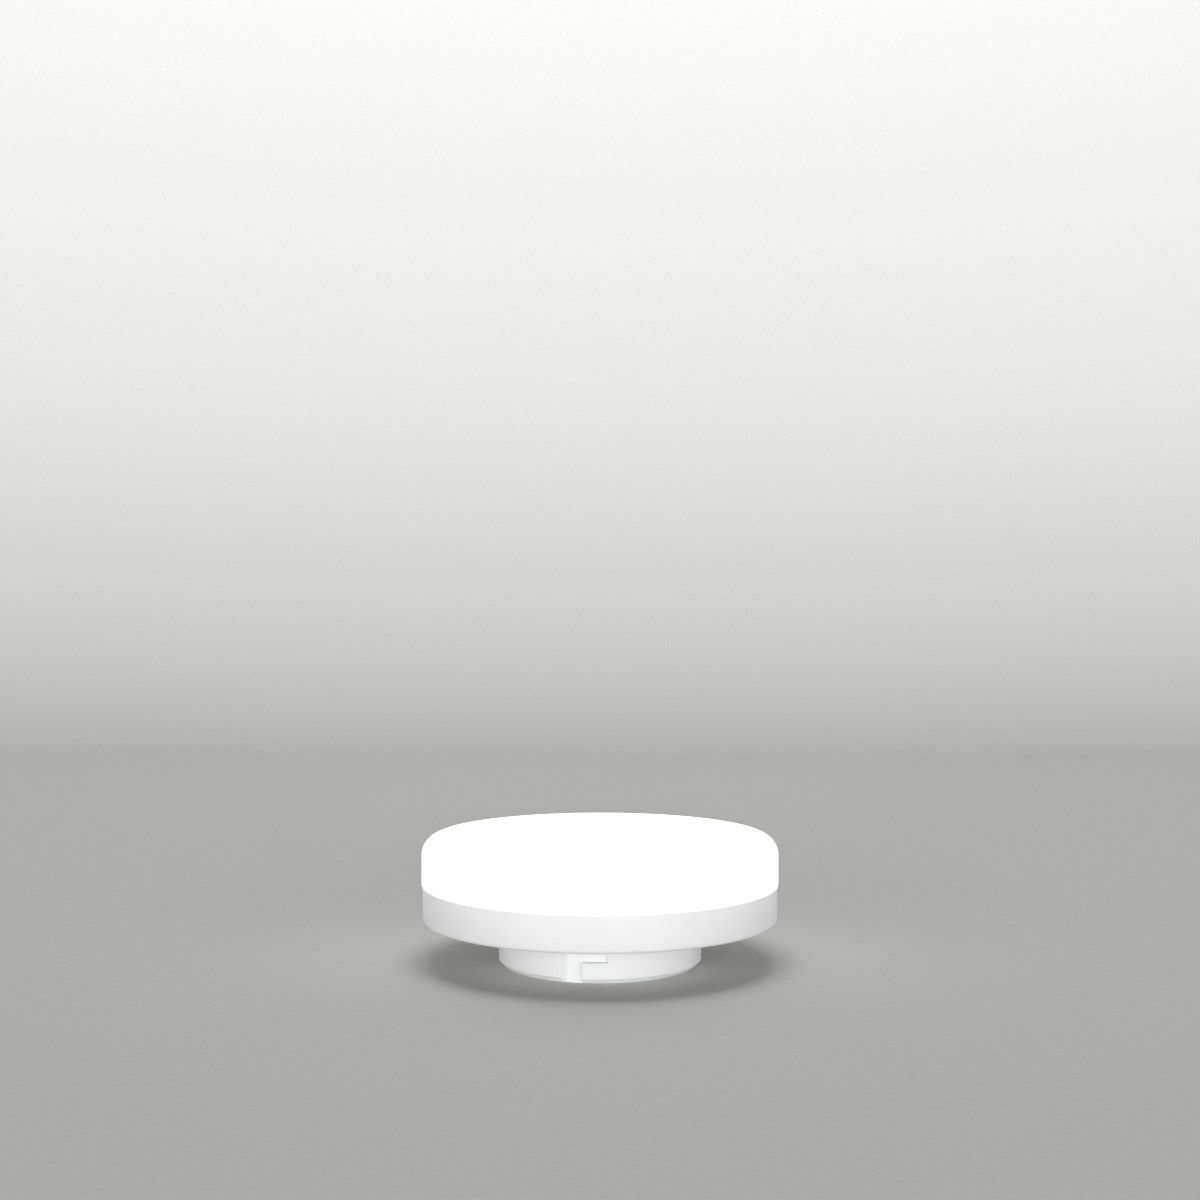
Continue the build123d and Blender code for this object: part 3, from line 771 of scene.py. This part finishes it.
for name, (dark, light, metallic, roughness, grain_size, nodes) in grained_finishes.items():
    material, tree = new_material(name)
    place = add(tree, "TexCoord", {})["Object"]
    grain = add(tree, "TexNoise", {"Vector": place, "Scale": scale_of(grain_size), "Detail": 4.0})["Fac"]
    colour = add(tree, "ValToRGB", {"Fac": grain}, [(0.35, linear(dark)), (0.65, linear(light))])["Color"]
    spread = {"To Min": roughness - sheen_spread, "To Max": roughness + sheen_spread}
    sheen = add(tree, "MapRange", {"Value": grain, **spread})["Result"]
    relief = add(tree, "Bump", {"Height": grain, "Strength": 0.15, "Distance": 0.03 * MM})["Normal"]
    shader = add(
        tree,
        "BsdfPrincipled",
        {"Base Color": colour, "Metallic": metallic, "Roughness": sheen, "Normal": relief},
    )
    add(tree, "OutputMaterial", {"Surface": shader["BSDF"]})
    for node in nodes:
        dress(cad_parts[node], material)
print("grained finishes:", len(grained_finishes))

# %% [markdown]
# ## Floor and backdrop
# A sheet of pale paper that runs up the wall behind the lamp in one curve, as in a photographer's
# studio, in a light grey so that the white lamp stands out. A floor and a wall as two planes would
# show a line behind the lamp, so one line of edges is extruded sideways instead.

# %% Floor and backdrop
floor_half_width = 1500.0
floor_front = -1500.0
floor_back = 700.0
wall_top = 1400.0
sweep_r = 250.0
bm = bmesh.new()
line = [(floor_front, 0), (floor_back - sweep_r, 0)]
line += arc_points((floor_back - sweep_r, sweep_r), sweep_r, -90, 0, count=24)
line += [(floor_back, wall_top)]
verts = [bm.verts.new(Vector((-floor_half_width, y, z)) * MM) for y, z in line]
edges = [bm.edges.new(pair) for pair in zip(verts, verts[1:])]
swept = bmesh.ops.extrude_edge_only(bm, edges=edges)["geom"]
moved = [v for v in swept if isinstance(v, bmesh.types.BMVert)]
bmesh.ops.translate(bm, verts=moved, vec=(2 * floor_half_width * MM, 0, 0))
bmesh.ops.remove_doubles(bm, verts=bm.verts, dist=MERGE)
bmesh.ops.recalc_face_normals(bm, faces=bm.faces)
mesh = bpy.data.meshes.new("floor")
bm.to_mesh(mesh)
bm.free()
mesh.shade_smooth()
floor = bpy.data.objects.new("floor", mesh)
bpy.context.scene.collection.objects.link(floor)
paper, tree = new_material("matte_paper_sweep")
place = add(tree, "TexCoord", {})["Object"]
fibre = add(tree, "TexNoise", {"Vector": place, "Scale": scale_of(1.5), "Detail": 3.0})["Fac"]
tones = [(0.35, linear("#CCCCCA")), (0.65, linear("#D0D0CE"))]
colour = add(tree, "ValToRGB", {"Fac": fibre}, tones)["Color"]
shader = add(tree, "BsdfPrincipled", {"Base Color": colour, "Roughness": 0.9, "Specular IOR Level": 0.1})
add(tree, "OutputMaterial", {"Surface": shader["BSDF"]})
dress(floor, paper)
print("floor faces:", len(floor.data.polygons))

# %% [markdown]
# ## Light
# The light is plain and soft, as in a light tent: a low band of light round the horizon, strongest
# behind the camera, and a weak light from above that gives the shadow. Large area lamps could make
# the band, but they would stand in the picture from other sides and leave bright stripes on the
# floor, so the world's own colour does it. A low band gets in under the housing's overhang and
# lights the keyways. The camera, mirrors and glass see an even pale grey in its place.

# %% Light
band_top = sin(radians(10))
band_end = sin(radians(20))
band_strength = 4.4
sky_strength = 0.06
front_start = -0.3  # Y of a direction where the front light begins to grow
front_end = -1.0  # straight behind the camera
side_share = 0.14
front_share = 1.36
seen_strength = 0.55
world = bpy.data.worlds.new("studio")
world.use_nodes = True
tree = world.node_tree
tree.nodes.clear()
direction = add(tree, "SeparateXYZ", {"Vector": add(tree, "TexCoord", {})["Generated"]})
rise = add(tree, "Math", {0: direction["Z"]}, operation="ABSOLUTE")["Value"]
band = add(
    tree,
    "MapRange",
    {
        "Value": rise,
        "From Min": band_top,
        "From Max": band_end,
        "To Min": band_strength,
        "To Max": sky_strength,
    },
)["Result"]
front = add(
    tree,
    "MapRange",
    {
        "Value": direction["Y"],
        "From Min": front_start,
        "From Max": front_end,
        "To Min": side_share,
        "To Max": front_share,
    },
)["Result"]
power = add(tree, "Math", {0: band, 1: front}, operation="MULTIPLY")["Value"]
rays = add(tree, "LightPath", {})
seen = add(tree, "Math", {0: rays["Is Camera Ray"], 1: rays["Is Glossy Ray"]}, operation="MAXIMUM")["Value"]
seen = add(tree, "Math", {0: seen, 1: rays["Is Transmission Ray"]}, operation="MAXIMUM")["Value"]
strength = add(tree, "MapRange", {"Value": seen, "To Min": power, "To Max": seen_strength})["Result"]
background = add(tree, "Background", {"Color": (1, 1, 1, 1), "Strength": strength})["Background"]
add(tree, "OutputWorld", {"Surface": background})
bpy.context.scene.world = world
print("world nodes:", len(tree.nodes))

# %% Light from above
top_place = Vector((0, -150, 1100)) * MM
top_size = 500.0
top_watts = 3.8
light_data = bpy.data.lights.new("top_light", "AREA")
light_data.shape = "RECTANGLE"
light_data.size = light_data.size_y = top_size * MM
light_data.energy = top_watts
light = bpy.data.objects.new("top_light", light_data)
light.location = top_place
light.rotation_euler = (-top_place).to_track_quat("-Z", "Y").to_euler()
bpy.context.scene.collection.objects.link(light)
bpy.context.scene.view_settings.view_transform = "Standard"
print("top light watts:", light_data.energy)

# %% Update the scene
bpy.context.view_layer.update()
